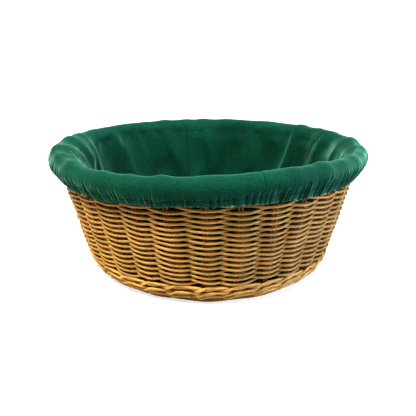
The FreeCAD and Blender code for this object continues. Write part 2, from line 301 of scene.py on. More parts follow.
def scene_object(name, data):
    made = bpy.data.objects.new(name, data)
    bpy.context.scene.collection.objects.link(made)
    return made


def mesh_object(name, vertices, faces, uvs, tints=None):
    mesh = bpy.data.meshes.new(name)
    mesh.from_pydata([tuple(v) for v in vertices], [], faces)
    layer = mesh.uv_layers.new(name="UVMap")
    layer.data.foreach_set("uv", np.asarray(uvs, dtype=np.float32).ravel())
    if tints is not None:
        attribute = mesh.attributes.new("tint", "FLOAT", "POINT")
        attribute.data.foreach_set("value", np.asarray(tints, dtype=np.float32))
    mesh.polygons.foreach_set("use_smooth", [True] * len(mesh.polygons))
    mesh.update()
    return scene_object(name, mesh)


def add_piece(piece, material, body, slot, *nodes):
    piece.data.materials.append(material)
    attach(piece, body)
    if nodes:
        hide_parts(*nodes)
    return piece


# Materials

class Nodes:
    """Adds nodes to a material's tree."""

    def __init__(self, name):
        self.material = bpy.data.materials.new(name)
        self.material.use_nodes = True
        self.tree = self.material.node_tree
        self.shader = self.tree.nodes["Principled BSDF"]

    def add(self, kind, inputs=None, **settings):
        node = self.tree.nodes.new("ShaderNode" + kind)
        for key, value in settings.items():
            setattr(node, key, value)
        for key, value in (inputs or {}).items():
            if isinstance(value, bpy.types.NodeSocket):
                self.tree.links.new(value, node.inputs[key])
            else:
                node.inputs[key].default_value = value
        return node

    def uv(self):
        return self.add("UVMap", uv_map="UVMap").outputs[0]

    def math(self, operation, a, b=0.0):
        return self.add("Math", {0: a, 1: b}, operation=operation).outputs[0]

    def noise(self, vector, scale, detail=3.0, roughness=0.55):
        inputs = {"Vector": vector, "Scale": scale, "Detail": detail, "Roughness": roughness}
        return self.add("TexNoise", inputs).outputs["Fac"]

    def ramp(self, factor, *stops):
        node = self.add("ValToRGB", {"Fac": factor})
        elements = node.color_ramp.elements
        while len(elements) < len(stops):
            elements.new(0.5)
        for element, (place, colour) in zip(elements, stops):
            element.position = place
            element.color = (*colour, 1.0)
        return node.outputs["Color"]

    def mix(self, factor, a, b, blend="MIX"):
        node = self.add("Mix", {0: factor, 6: a, 7: b}, data_type="RGBA", blend_type=blend)
        return node.outputs[2]

    def map_range(self, value, low, high):
        inputs = {"Value": value, "To Min": low, "To Max": high}
        return self.add("MapRange", inputs).outputs["Result"]

    def bump(self, height, strength, distance, normal=None):
        inputs = {"Height": height, "Strength": strength, "Distance": distance}
        if normal is not None:
            inputs["Normal"] = normal
        return self.add("Bump", inputs).outputs["Normal"]

    def link(self, output, name):
        self.tree.links.new(output, self.shader.inputs[name])

    def set(self, **values):
        for key, value in values.items():
            self.shader.inputs[key.replace("_", " ")].default_value = value


def grey(value):
    return (value, value, value)


def cane_material(name, pale, mid, deep, roughness=(0.34, 0.52)):
    """Peeled cane: fibres along the rod, each rod with its own tint, and a satin skin."""
    n = Nodes(name)
    uv = n.add("SeparateXYZ", {"Vector": n.uv()})
    turn = n.math("MULTIPLY", uv.outputs["X"], 2 * math.pi)
    fibre_space = n.add("CombineXYZ", {
        "X": n.math("COSINE", turn),
        "Y": n.math("SINE", turn),
        "Z": n.math("MULTIPLY", uv.outputs["Y"], 26.0),
    }).outputs[0]
    tint = n.add("Attribute", attribute_name="tint").outputs["Fac"]
    place = n.add("TexCoord").outputs["Object"]
    fibres = n.noise(fibre_space, 3.2, 5.0, 0.62)
    patches = n.noise(place, 34.0, 3.0, 0.5)
    spots = n.noise(place, 210.0, 2.0, 0.5)
    along = n.ramp(fibres, (0.30, deep), (0.50, mid), (0.72, pale))
    by_rod = n.mix(n.map_range(tint, 0.0, 0.55), along, n.mix(0.5, (*pale, 1), (*mid, 1)))
    shade = n.ramp(patches, (0.30, grey(0.80)), (0.62, grey(1.06)))
    blotched = n.mix(1.0, by_rod, shade, "MULTIPLY")
    flecks = n.ramp(spots, (0.26, (0.62, 0.45, 0.32)), (0.38, grey(1.0)))
    n.link(n.mix(0.8, blotched, flecks, "MULTIPLY"), "Base Color")
    n.link(n.map_range(fibres, roughness[1], roughness[0]), "Roughness")
    n.link(n.bump(fibres, 0.35, 0.0004), "Normal")
    n.set(Specular_IOR_Level=0.5, Coat_Weight=0.18, Coat_Roughness=0.32)
    return n.material


def cloth_material():
    """Plain-weave cotton, a little brushed, with threads at 2 per millimetre."""
    n = Nodes("green cotton")
    place = n.add("TexCoord").outputs["Object"]
    thread = {"Vector": n.uv(), "Scale": 160.0, "Distortion": 0.6, "Detail": 1.0, "Detail Scale": 2.0}
    warp = n.add("TexWave", thread, bands_direction="X").outputs["Fac"]
    weft = n.add("TexWave", thread, bands_direction="Y").outputs["Fac"]
    weave = n.math("MULTIPLY", warp, weft)
    fuzz = n.noise(place, 900.0, 4.0, 0.7)
    mottle = n.noise(place, 150.0, 4.0, 0.65)
    patches = n.noise(place, 22.0, 3.0, 0.55)
    base = n.ramp(patches, (0.30, (0.0016, 0.066, 0.042)), (0.70, (0.0026, 0.090, 0.057)))
    mottled = n.mix(1.0, base, n.ramp(mottle, (0.30, grey(0.84)), (0.70, grey(1.12))), "MULTIPLY")
    threads = n.ramp(weave, (0.0, grey(0.86)), (0.8, grey(1.06)))
    woven = n.mix(0.7, mottled, threads, "MULTIPLY")
    grain = n.ramp(n.noise(place, 700.0, 2.0, 0.6), (0.36, grey(0.72)), (0.64, grey(1.24)))
    n.link(n.mix(1.0, woven, grain, "MULTIPLY"), "Base Color")
    n.link(n.map_range(mottle, 0.80, 0.95), "Roughness")
    fine = n.bump(weave, 0.25, 0.0002)
    n.link(n.bump(fuzz, 0.22, 0.0005, fine), "Normal")
    n.set(Specular_IOR_Level=0.2, Sheen_Weight=0.75, Sheen_Roughness=0.38)
    n.set(Sheen_Tint=(0.44, 0.95, 0.72, 1))
    return n.material


def thread_with_painted_shade_material():
    n = Nodes("sewing thread with painted shade")
    twisted = {"Vector": n.uv(), "Scale": 320.0, "Distortion": 1.0}
    ply = n.add("TexWave", twisted, bands_direction="DIAGONAL").outputs["Fac"]
    # Dark green thread made nearly black: the green is the thread's own colour, and its darkness is
    # painted shade of the seams' and the stitch line's ditches.
    n.link(n.ramp(ply, (0.0, (0.0006, 0.014, 0.009)), (1.0, (0.001, 0.024, 0.015))), "Base Color")
    n.link(n.bump(ply, 0.4, 0.0002), "Normal")
    n.set(Roughness=1.0, Specular_IOR_Level=0.0)
    return n.material


def elastic_material():
    n = Nodes("braided elastic")
    strands = {"Vector": n.uv(), "Scale": 110.0, "Distortion": 2.0}
    braid = n.add("TexWave", strands, bands_direction="Y").outputs["Fac"]
    n.link(n.ramp(braid, (0.0, (0.50, 0.49, 0.46)), (1.0, (0.80, 0.79, 0.75))), "Base Color")
    n.link(n.bump(braid, 0.5, 0.0004), "Normal")
    n.set(Roughness=0.75, Sheen_Weight=0.2)
    return n.material


WEAVER_CANE = cane_material("weaver cane", (0.70, 0.46, 0.165), (0.56, 0.33, 0.090), (0.36, 0.18, 0.045))
# The wale cane is paler than the weaver cane: painted light, for the brighter light low on the wall.
WALE_CANE_PAINTED_LIGHT = cane_material("wale cane with painted light", (0.90, 0.61, 0.230), (0.79, 0.48, 0.145), (0.54, 0.29, 0.070))
STAKE_CANE = cane_material("stake cane", (0.46, 0.22, 0.08), (0.34, 0.14, 0.045), (0.20, 0.08, 0.025))
BORDER_CANE = cane_material("border cane", (0.72, 0.45, 0.18), (0.58, 0.33, 0.11), (0.38, 0.19, 0.06))
BASE_CANE = cane_material("base cane", (0.68, 0.42, 0.17), (0.54, 0.30, 0.10), (0.34, 0.17, 0.05))
STICK_WOOD = cane_material("base stick", (0.52, 0.31, 0.14), (0.40, 0.22, 0.09), (0.26, 0.13, 0.05),
                           (0.5, 0.7))
COTTON = cloth_material()
THREAD = thread_with_painted_shade_material()
ELASTIC = elastic_material()


# Basket

tints = np.random.default_rng(17)


def once_round(stake, samples):
    """Azimuths of a rod's way once round from beside a stake, with samples for each stake."""
    start = STAKE_AZIMUTH + stake * STAKE_STEP + BUTT_GAP / 2
    return np.linspace(start, start + (360 - BUTT_GAP), STAKES * samples + 1)


def siding_weavers():
    """Thirty courses of cane, in and out of the stakes."""
    for row in range(ROWS):
        name = weaver_name(row)
        z = middle_z(name)
        azimuth = once_round(row * ROW_STAGGER, 12)
        stakes = stake_count_at(azimuth, z)
        side = -1 if row % 2 == 0 else 1
        wave = side * np.cos(math.pi * stakes)
        eased = np.sign(wave) * np.abs(wave) ** 0.85
        reach = WEAVE_REACH * (1 + 0.07 * bulge_jitter(azimuth, z))
        height = z + 0.42 * MM * row_drift(azimuth, z) + 0.10 * MM * row_jitter(azimuth, z)
        height = height - STROKE_SAG * wave - STROKE_SLANT * side * np.sin(math.pi * stakes)
        line = polar(wall_radius(z) + reach * eased, azimuth, height)
        radius = WEAVER_RADIUS * (1 + 0.03 * tints.standard_normal())
        piece = rods(name + "_cane", [(line, radius, tints.random())])
        add_piece(piece, WEAVER_CANE, "basket", "weaver_cane", name)


def stake_line(length):
    """(radius, z, outward radius, outward z) along a stake, by the length from where its bend starts."""
    reach = UPSETT_RADIUS * math.tan(BEND_TURN / 2)
    bend_radius = wall_radius(BASE_Z) - reach
    bend_z = BASE_Z + UPSETT_RADIUS
    angle = np.clip(length / UPSETT_RADIUS, 0, BEND_TURN)
    beyond = np.maximum(length - UPSETT_RADIUS * BEND_TURN, 0)
    before = np.minimum(length, 0)
    radius = bend_radius + UPSETT_RADIUS * np.sin(angle) + beyond * math.sin(LEAN) + before
    z = bend_z - UPSETT_RADIUS * np.cos(angle) + beyond * math.cos(LEAN)
    return radius, z, np.sin(angle), -np.cos(angle)


def stake_length(z):
    """The length along a stake, from where its bend starts, at a height on the wall."""
    bend_end_z = BASE_Z + UPSETT_RADIUS * (1 - math.cos(BEND_TURN))
    return UPSETT_RADIUS * BEND_TURN + (z - bend_end_z) / math.cos(LEAN)


# A wale rod's way past three stakes: behind the first, and outside the other two. It comes out
# under the rod before it, crosses over that rod, and goes down to make room for the next one.
WALE_WAY = (
    # stakes passed, mm outwards, mm up
    (0.00, -2.9, -3.2),
    (0.50, -0.3, -4.4),
    (0.75, 3.7, -2.0),
    (1.00, 3.3, 1.3),
    (1.50, 2.7, 0.7),
    (1.75, 1.7, -0.5),
    (2.00, 2.7, -1.5),
    (2.50, 0.2, -1.9),
)


def periodic_curve(places, values, period, at):
    """A smooth curve through values at places, repeated with the period (cubic Hermite)."""
    places = np.asarray(places, dtype=float)
    values = np.asarray(values, dtype=float)
    ahead = np.append(places[1:], places[0] + period)
    behind = np.insert(places[:-1], 0, places[-1] - period)
    slopes = (np.roll(values, -1) - np.roll(values, 1)) / (ahead - behind)
    at = np.mod(at - places[0], period) + places[0]
    i = np.searchsorted(places, at, side="right") - 1
    j = (i + 1) % len(places)
    span = ahead[i] - places[i]
    t = (at - places[i]) / span
    rest = 1 - t
    return (values[i] * (1 + 2 * t) * rest ** 2 + slopes[i] * span * t * rest ** 2
            + values[j] * t ** 2 * (1 + 2 * rest) - slopes[j] * span * t ** 2 * rest)


# The rim isn't level: azimuth and mm above its middle height.
RIM_LIFTS = (
    (-178, -0.8), (-150, -2.6), (-118, -2.4), (-92, 0.4), (-70, 3.6), (-48, 3.6), (-25, 0.8), (10, 0.0),
    (90, 0.0),
)


def rim_lift(azimuth):
    places, lifts = zip(*RIM_LIFTS)
    return MM * periodic_curve(places, lifts, 360, azimuth)


def wale_round(length, phase):
    """One rod's round of a wale, with its middle at a length along the stakes."""
    middle_height = stake_line(length)[1]
    azimuth = once_round(phase, 14)
    passed = stake_count_at(azimuth, middle_height) - phase
    places, outwards, upwards = zip(*WALE_WAY)
    out = periodic_curve(places, outwards, 3, passed) * MM
    up = periodic_curve(places, upwards, 3, passed) * MM
    up = up + 0.35 * MM * row_drift(azimuth, middle_height)
    out = out * (1 + 0.06 * bulge_jitter(azimuth, middle_height))
    radius, z, out_r, out_z = stake_line(length + up)
    return polar(radius + out * out_r, azimuth, z + out * out_z)


def wales():
    lower_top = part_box("lower_wale_rod_3")[1][2]
    for rod in range(3):
        rounds = []
        for i in range(LOWER_WALE_ROUNDS):
            length = stake_length(lower_top) - (LOWER_WALE_ROUNDS - i - 0.55) * WALE_BAND
            radius = WALE_RADIUS * (1 + 0.03 * tints.standard_normal())
            rounds.append((wale_round(length, rod + i), radius, tints.random()))
        name = "lower_wale_rod_%d" % (rod + 1)
        add_piece(rods(name + "_cane", rounds), WALE_CANE_PAINTED_LIGHT, "basket", "wale_cane", name)
        name = "upper_wale_rod_%d" % (rod + 1)
        length = stake_length(middle_z("upper_wale_rod_2")) + UPPER_WALE_LIFT
        line = wale_round(length, rod)
        piece = rods(name + "_cane", [(line, WALE_RADIUS, tints.random())])
        add_piece(piece, WALE_CANE_PAINTED_LIGHT, "basket", "wale_cane", name)


def stakes():
    """Pairs of stakes up the wall, and the side stakes' feet in the base."""
    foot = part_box("base_weave")[1][0] - STAKE_FOOT
    start = foot - stake_line(np.array(0.0))[0]
    low = stake_length(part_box("bye_stakes")[0][2])
    high = stake_length(WALL_TOP_Z)
    for name, side, first in (("side_stakes", -1, start), ("bye_stakes", 1, low)):
        lines = []
        for stake in range(STAKES):
            radius, z, _, _ = stake_line(np.linspace(first, high, 60))
            azimuth = stake_azimuth(stake, z) + np.degrees(side * PAIR_SPACING / 2 / radius)
            lines.append((polar(radius, azimuth, z), STAKE_RADIUS, tints.random()))
        add_piece(rods(name + "_canes", lines), STAKE_CANE, "basket", "stake_cane", name)


def border():
    """The rolled border: the stakes' ends, laid over and wound round the rim like a rope."""
    wound = ROLL_RADIUS - PACKED_CLOTH - BORDER_ROOM - BORDER_CANE_RADIUS
    t = np.linspace(0, 1, 46)
    groups = ([], [], [])
    for stake in range(STAKES):
        for cane in range(BORDER_CANES_PER_STAKE):
            passed = stake + BORDER_STEPS * t + cane / BORDER_CANES_PER_STAKE
            azimuth = STAKE_AZIMUTH + passed * STAKE_STEP
            angle = np.radians(BORDER_START - 360 * t)
            tuck = 1 - 0.35 * (np.clip(1 - t / 0.06, 0, 1) + np.clip(1 - (1 - t) / 0.06, 0, 1))
            radius = ROLL_CENTRE_RADIUS + wound * tuck * np.cos(angle)
            z = ROLL_Z + rim_lift(azimuth) + wound * tuck * np.sin(angle)
            size = BORDER_CANE_RADIUS * (1 + 0.05 * tints.standard_normal())
            groups[stake % 3].append((polar(radius, azimuth, z), size, tints.random()))
    core_azimuth = np.linspace(0, 360, 181)
    core = polar(ROLL_CENTRE_RADIUS, core_azimuth, ROLL_Z + rim_lift(core_azimuth))
    groups[0].append((core, wound - 0.8 * BORDER_CANE_RADIUS, 0.2))
    for index, lines in enumerate(groups):
        name = "border_strand_%d" % (index + 1)
        add_piece(rods(name + "_canes", lines), BORDER_CANE, "basket", "border_cane", name)


def base():
    """The base's rounds of cane, over and under the sticks, and better surfaces for the sticks."""
    low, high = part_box("base_weave")
    inner = radii("base_weave")[0]
    pitch = (high[0] - inner) / BASE_ROUNDS
    reach = (high[2] - low[2]) / 2 - BASE_CANE_RADIUS
    azimuth = np.linspace(0, 360, SPOKES * 12 + 1)
    lines = []
    for i in range(BASE_ROUNDS):
        side = 1 if i % 2 == 0 else -1
        radius = inner + (i + 0.5) * pitch
        wave = side * np.cos(math.pi * (azimuth - BASE_AZIMUTH) / (360 / SPOKES))
        eased = np.sign(wave) * np.abs(wave) ** 0.7
        wander = radius + 0.25 * MM * row_drift(azimuth, radius)
        line = polar(wander, azimuth, BASE_Z + reach * eased)
        lines.append((line, BASE_CANE_RADIUS, tints.random()))
    add_piece(rods("base_weave_canes", lines), BASE_CANE, "basket", "base_cane", "base_weave")
    surfaces = {
        "base_sticks_slit": STICK_WOOD, "base_sticks_through": STICK_WOOD,
        "base_cross_binding": BASE_CANE,
    }
    for name, material in surfaces.items():
        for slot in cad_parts[name].material_slots:
            slot.material = material


def foot_ring():
    """The cane that the basket stands on, which bows out a little between the stakes."""
    least, greatest = radii("foot_ring")
    azimuth = np.linspace(0, 360 - BUTT_GAP, STAKES * 12 + 1) + STAKE_AZIMUTH
    size = (greatest - least) / 2 * (0.96 + 0.04 * bulge_jitter(azimuth, 0.0))
    bow = 0.7 * MM * np.cos(math.pi * stake_count_at(azimuth, 0.0))
    bow = bow + 0.35 * MM * row_drift(azimuth, 0.0)
    line = polar((least + greatest) / 2 + bow, azimuth, size)
    piece = rods("foot_ring_cane", [(line, size, tints.random())])
    add_piece(piece, BASE_CANE, "basket", "base_cane", "foot_ring")


# Liner

def smooth_step(x, low, high):
    t = np.clip((x - low) / (high - low), 0, 1)
    return t * t * (3 - 2 * t)


# The hem was pulled down by hand and isn't level: azimuth and mm above the drawn hem.
HEM_LIFTS = (
    (-165, 4.5), (-150, 0.6), (-130, -1.6), (-90, 2.6), (-45, 3.4), (-8, 5.2), (50, 1.0), (120, 0.0),
    (160, 4.0), (183, 7.6),
)


def hem_height(azimuth):
    places, lifts = zip(*HEM_LIFTS)
    return HEM_Z + MM * periodic_curve(places, lifts, 360, azimuth)


# Rows of the cloth's coarse grid. The first is at the floor seam and the last is the hem.
CORNER_ROWS = 6
WALL_ROWS = 28
ROLL_ROWS = 17
SKIRT_ROWS = 6
LIP_ROW = CORNER_ROWS + WALL_ROWS
INNER_ROWS = LIP_ROW + 8      # that the wall's inner face holds back
TURN_ROW = LIP_ROW + ROLL_ROWS
LAST_ROW = TURN_ROW + SKIRT_ROWS
LIP_ANGLE = 196.0
TURN_ANGLE = -40.0            # where the cloth leaves the roll, under its outer side
STITCH_ROW = 2 * LAST_ROW - 8    # of the fine grid

# From the wall's middle to the cloth's face, inside the basket and outside.
FACE_IN = WEAVE_REACH + WEAVER_RADIUS + 0.5 * MM + CLOTH
FACE_OUT = WEAVE_REACH + WEAVER_RADIUS + 2.9 * MM
FLOOR_Z = FLOOR_PANEL_Z + CLOTH
# The cloth goes up to the wall on an arc from the floor seam.
CORNER_RADIUS = ((wall_radius(FLOOR_Z) - FACE_IN / math.cos(LEAN) - FLOOR_PANEL_RADIUS)
                 / math.tan(BEND_TURN / 2))


def on_roll(angle):
    """(radius, z) on the section of the roll over the border."""
    return ROLL_CENTRE_RADIUS + ROLL_RADIUS * math.cos(angle), ROLL_Z + ROLL_RADIUS * math.sin(angle)


def cloth_section(azimuth):
    """The smooth cloth before it settles: rows of points by columns, the last row at the hem."""
    rows = []
    for angle in np.arange(CORNER_ROWS) / CORNER_ROWS * BEND_TURN:
        rows.append((FLOOR_PANEL_RADIUS + CORNER_RADIUS * math.sin(angle),
                     FLOOR_Z + CORNER_RADIUS * (1 - math.cos(angle))))
    wall_low_z = FLOOR_Z + CORNER_RADIUS * (1 - math.cos(BEND_TURN))
    lip, turn = math.radians(LIP_ANGLE), math.radians(TURN_ANGLE)
    lip_radius, lip_z = on_roll(lip)
    for t in np.arange(WALL_ROWS) / WALL_ROWS:
        z = wall_low_z + t * (lip_z - wall_low_z)
        straight = wall_radius(z) - FACE_IN / math.cos(LEAN)
        rows.append((straight + smooth_step(t, 0.80, 1.0) * (lip_radius - straight), z))
    for t in np.arange(ROLL_ROWS) / ROLL_ROWS:
        rows.append(on_roll(lip + t * (turn - lip)))
    columns = np.ones_like(azimuth)
    lift = rim_lift(azimuth)
    radius = [r * columns for r, _ in rows]
    height = [z + lift * smooth_step(i, LIP_ROW - 10, LIP_ROW) for i, (_, z) in enumerate(rows)]
    turn_radius, turn_z = on_roll(turn)
    hem_z = hem_height(azimuth)
    hem_radius = wall_radius(hem_z) + FACE_OUT / math.cos(LEAN)
    for t in np.arange(SKIRT_ROWS + 1) / SKIRT_ROWS:
        radius.append(turn_radius + t * (hem_radius - turn_radius))
        height.append(turn_z + lift + t * (hem_z - turn_z - lift))
    return np.array(radius), np.array(height)


wall_slack = Waves(23, 10, (2, 9), (1, 9))
wall_fold = Waves(29, 12, (9, 34), (4, 16))
wall_swell = Waves(53, 9, (7, 18), (5, 13))
roll_wave = Waves(37, 10, (9, 30), (0, 4))
roll_lump = Waves(47, 10, (18, 40), (0, 0))
gather_size = Waves(43, 14, (3, 60), (0, 8))
gather_shift = Waves(41, 10, (20, 70), (0, 6))
gather_start = Waves(59, 20, (40, 150), (0, 0))
floor_wave = Waves(53, 7, (1, 5), (2, 14))

# Creases given before the cloth settles: azimuth and row at each end, depth in mm and half
# width in degrees. A negative depth is a valley.
CREASES = (
    (176, 45, 163, 26, 3.2, 2.4),
    (184, 46, 172, 25, -2.4, 2.4),
    (192, 47, 180, 24, 3.4, 2.2),
    (200, 46, 188, 24, -2.4, 2.2),
    (208, 47, 196, 24, 3.4, 2.4),
    (220, 46, 206, 26, 2.4, 2.6),
    (150, 38, 149, 13, -3.0, 3.4),
    (146, 40, 131, 14, 3.6, 2.4),
    (132, 38, 121, 16, -3.4, 5.0),
    (118, 39, 108, 22, 2.6, 4.0),
    (92, 38, 99, 14, 2.0, 5.0),
    (72, 40, 84, 14, -3.2, 5.0),
    (53, 41, 65, 18, 2.2, 3.0),
    (40, 30, 54, 11, 3.4, 2.2),
    (35, 28, 43, 10, 3.2, 2.2),
    (29, 42, 33, 22, -3.2, 1.8),
    (24, 44, 26, 20, 2.6, 2.2),
    (15, 42, 6, 18, -3.0, 2.4),
    (4, 46, -6, 24, 2.0, 3.0),
    (-36, 38, -48, 14, 3.2, 3.4),
    (-60, 38, -69, 12, 3.0, 3.0),
    (-88, 38, -84, 14, -2.6, 5.0),
    (-110, 38, -101, 11, 3.2, 3.2),
    (-136, 40, -126, 13, 3.2, 3.4),
)


def turned_from(azimuth, centre):
    """Degrees from a centre to azimuths, -180 to 180."""
    return (azimuth - centre + 180) % 360 - 180


def creases(azimuth, rows):
    """How far the creases stand out of the cloth, in metres."""
    height = np.zeros_like(rows)
    for start, start_row, end, end_row, depth, width in CREASES:
        t = np.clip((rows - start_row) / (end_row - start_row), 0, 1)
        away = turned_from(azimuth, start + (end - start) * t)
        fade = smooth_step(t, 0.0, 0.15) * (1 - smooth_step(t, 0.7, 1.0))
        spread = width * (1.4 + 1.9 * t)
        height += 0.85 * depth * MM * fade * np.exp(-(away / spread) ** 2)
    return height


# Where loose cloth stands off the inner wall below the rim: azimuth, half width in degrees, mm, and
# the row where it starts.
STAND_OFFS = (
    (197, 22, 11.0, 12),
    (172, 14, 4.0, 14),
    (4, 22, 6.0, 14),
    (60, 30, 2.0, 10),
    (-60, 40, 2.0, 10),
)


def between(rows, low, low_full, high_full, high):
    """1 from row low_full to row high_full, and fading to 0 at low and high."""
    return smooth_step(rows, low, low_full) * (1 - smooth_step(rows, high_full, high))


def on_wall(rows):
    return between(rows, 5, 12, LIP_ROW - 3, LIP_ROW + 3)


def support(azimuth, rows):
    """How far trapped folds and the rim's lumps hold the cloth off the smooth section, in metres."""
    held = on_wall(rows) * 1.3 * (1.3 + np.clip(wall_swell(azimuth, rows * 0.004), -1.3, 2))
    held = held + between(rows, 17, LIP_ROW - 1, LIP_ROW, LIP_ROW + 6) * 2.5
    for centre, half_width, depth, low in STAND_OFFS:
        away = turned_from(azimuth, centre)
        rise = between(rows, low, LIP_ROW - 2, LIP_ROW, LIP_ROW + 7)
        held = held + depth * rise * np.exp(-(away / half_width) ** 2)
    roll = smooth_step(rows, LIP_ROW - 2, LIP_ROW + 4)
    held = held * MM + roll * ROLL_LUMPS * np.maximum(roll_lump(azimuth, 0.0), -0.6)
    return np.maximum(held + 0.9 * creases(azimuth, rows), -0.5 * MM * roll)


def refine_columns(values):
    """Twice as many columns, with the new ones on a smooth curve through the old ones."""
    before, after, beyond = (np.roll(values, shift, axis=1) for shift in (1, -1, -2))
    middle = (9 * (values + after) - before - beyond) / 16
    return np.stack([values, middle], axis=2).reshape(len(values), -1, *values.shape[2:])


def refine_rows(values):
    ends = [2 * values[:1] - values[1:2], values, 2 * values[-1:] - values[-2:-1]]
    padded = np.concatenate(ends)
    middle = (9 * (padded[1:-2] + padded[2:-1]) - padded[:-3] - padded[3:]) / 16
    refined = np.empty((2 * len(values) - 1, *values.shape[1:]))
    refined[0::2] = values
    refined[1::2] = middle
    return refined


def refine(values):
    """The fine grid from the coarse one: twice as many rows and four times as many columns."""
    return refine_rows(refine_columns(refine_columns(values)))


def lengths_across(points):
    return np.linalg.norm(np.roll(points, -1, axis=1) - points, axis=-1)


def lengths_along(points):
    return np.linalg.norm(np.diff(points, axis=0), axis=-1)


def sideways(azimuth):
    """1 at the left and right of the basket, 0 at its front and back."""
    return 0.5 + 0.5 * np.cos(2 * np.radians(azimuth))


def cut_slack(azimuth, rows):
    """How much wider and longer the cloth was cut than the smooth section, by row and column.

    The cloth is loose at the left and right sides, and pulled smooth over the front of the roll.
    """
    sides = sideways(azimuth)
    front = np.clip(-np.sin(np.radians(azimuth)), 0, 1) ** 2
    wall = between(rows, 4, 10, LIP_ROW - 2, LIP_ROW + 6)
    lip = np.exp(-((rows - LIP_ROW) / 5.0) ** 2)
    skirt = smooth_step(rows, LIP_ROW + 10, TURN_ROW + 2)
    loose = np.clip(1 + 0.5 * wall_slack(azimuth, rows * 0.003), 0.2, 2)
    roll = between(rows, LIP_ROW - 4, LIP_ROW + 3, LIP_ROW + 12, TURN_ROW)
    across = 1.004 + 0.005 * wall * loose + lip * (0.008 + 0.042 * sides) * (1 - 0.6 * front)
    across = across + roll * (0.004 + 0.016 * sides) * (1 - front)
    along = 1.0 + 0.006 * wall * loose - 0.03 * skirt
    return across, along


def gathers(azimuth, rows):
    """How far the gathers above the elastic stand out of the cloth: round ridges and sharp valleys."""
    sides = sideways(azimuth)
    phase = GATHERS * np.radians(azimuth) + 2.4 * gather_shift(azimuth, rows * 0.002)
    ridges = 2 * np.abs(np.sin(phase / 2)) ** 0.8 - 1.2
    top = LIP_ROW + 14.5 - 3.0 * sides + 1.2 * gather_start(azimuth, 0.0)
    size = np.clip(1.0 + 0.30 * sides + 0.35 * gather_size(azimuth, rows * 0.002), 0.35, 1.7)
    return GATHER_DEPTH * size * smooth_step(rows, top, TURN_ROW + 1) * ridges


def pull(points, step, rest, share, free):
    """Moves each point and the one a step of (rows, columns) away towards their rest distance.

    share is how much of the way each of the two goes.
    """
    down, right = step
    first = points[:len(points) - down]
    second = np.roll(points, -right, axis=1)[down:]
    gap = second - first
    length = np.sqrt(np.einsum("ijk,ijk->ij", gap, gap))
    gap *= (share * (1 - rest / length))[..., None]
    move = np.zeros_like(points)
    move[:len(points) - down] += gap
    move[down:] -= np.roll(gap, right, axis=1)
    points += move * free


def keep_off(points, inner_rows, proud):
    """Pushes the cloth off the cane: the wall's two faces, the rolled border and the floor.

    proud is how much further out it is held at each point.
    """
    radius = np.hypot(points[..., 0], points[..., 1])
    height = points[..., 2].copy()
    moved = radius.copy()
    roll_z = ROLL_Z + rim_lift(np.arange(points.shape[1]) * 360.0 / points.shape[1])
    cos, sin = math.cos(LEAN), math.sin(LEAN)
    inner = slice(0, inner_rows)
    deep = np.maximum((moved[inner] - wall_radius(height[inner])) * cos + FACE_IN + proud[inner], 0)
    deep *= height[inner] < ROLL_Z
    moved[inner] -= deep * cos
    height[inner] += deep * sin
    out, up = moved[inner] - FLOOR_PANEL_RADIUS, height[inner] - FLOOR_Z - CORNER_RADIUS
    in_corner = (out > 0) & (up < -out * math.tan(LEAN))
    draw_in = np.where(in_corner, np.minimum(CORNER_RADIUS / np.maximum(np.hypot(out, up), 1e-6), 1), 1)
    moved[inner] += out * (draw_in - 1)
    height[inner] += up * (draw_in - 1)
    outer = slice(inner_rows, None)
    least = wall_radius(height[outer]) + FACE_OUT / cos
    below = height[outer] < roll_z - 0.3 * ROLL_RADIUS
    moved[outer] = np.where(below, np.maximum(moved[outer], least), moved[outer])
    out, up = moved - ROLL_CENTRE_RADIUS, height - roll_z
    apart = np.hypot(out, up)
    grow = np.maximum((ROLL_RADIUS - 0.3 * MM + proud) / np.maximum(apart, 1e-6), 1)
    moved = ROLL_CENTRE_RADIUS + out * grow
    height = np.maximum(roll_z + up * grow, FLOOR_Z)
    points[..., :2] *= (moved / radius)[..., None]
    points[..., 2] = height


def settle(points, start, final, proud, free):
    """Lets the cloth buckle into folds as it takes its cut lengths, start and final being
    (across, along) lengths. free is how far each row may move; the floor seam and the hem hold.
    """
    steps = SETTLE_STEPS
    before = points.copy()
    for step in range(steps):
        share = min(1.0, (step + 1) / (0.6 * steps))
        across, along = (a + (b - a) * share for a, b in zip(start, final))
        slant = np.hypot((across[1:] + across[:-1]) / 2, along)
        wide = across + np.roll(across, -1, axis=1) + np.roll(across, -2, axis=1)
        long = along[2:] + along[1:-1] + along[:-2]
        speed = MOMENTUM * (points - before) * free
        before = points.copy()
        points += speed
        points[..., 2] -= GRAVITY * free[..., 0]
        for _ in range(2):
            pull(points, (0, 1), across, STRETCH, free)
            pull(points, (1, 0), along, STRETCH, free)
            pull(points, (1, 1), slant, SHEAR, free)
            pull(points, (1, -1), slant, SHEAR, free)
            pull(points, (0, 3), wide, BENDING, free)
            pull(points, (3, 0), long, BENDING, free)
            keep_off(points, INNER_ROWS, proud)
    return points


def face_normals(points):
    """Unit normals of a grid that closes on itself, on the side of the cloth that shows."""
    across = np.roll(points, -1, axis=1) - np.roll(points, 1, axis=1)
    along = np.gradient(points, axis=0)
    normals = np.cross(along, across)
    return normals / np.linalg.norm(normals, axis=-1, keepdims=True)


def smooth_across(values):
    return (np.roll(values, 1, axis=1) + 2 * values + np.roll(values, -1, axis=1)) / 4


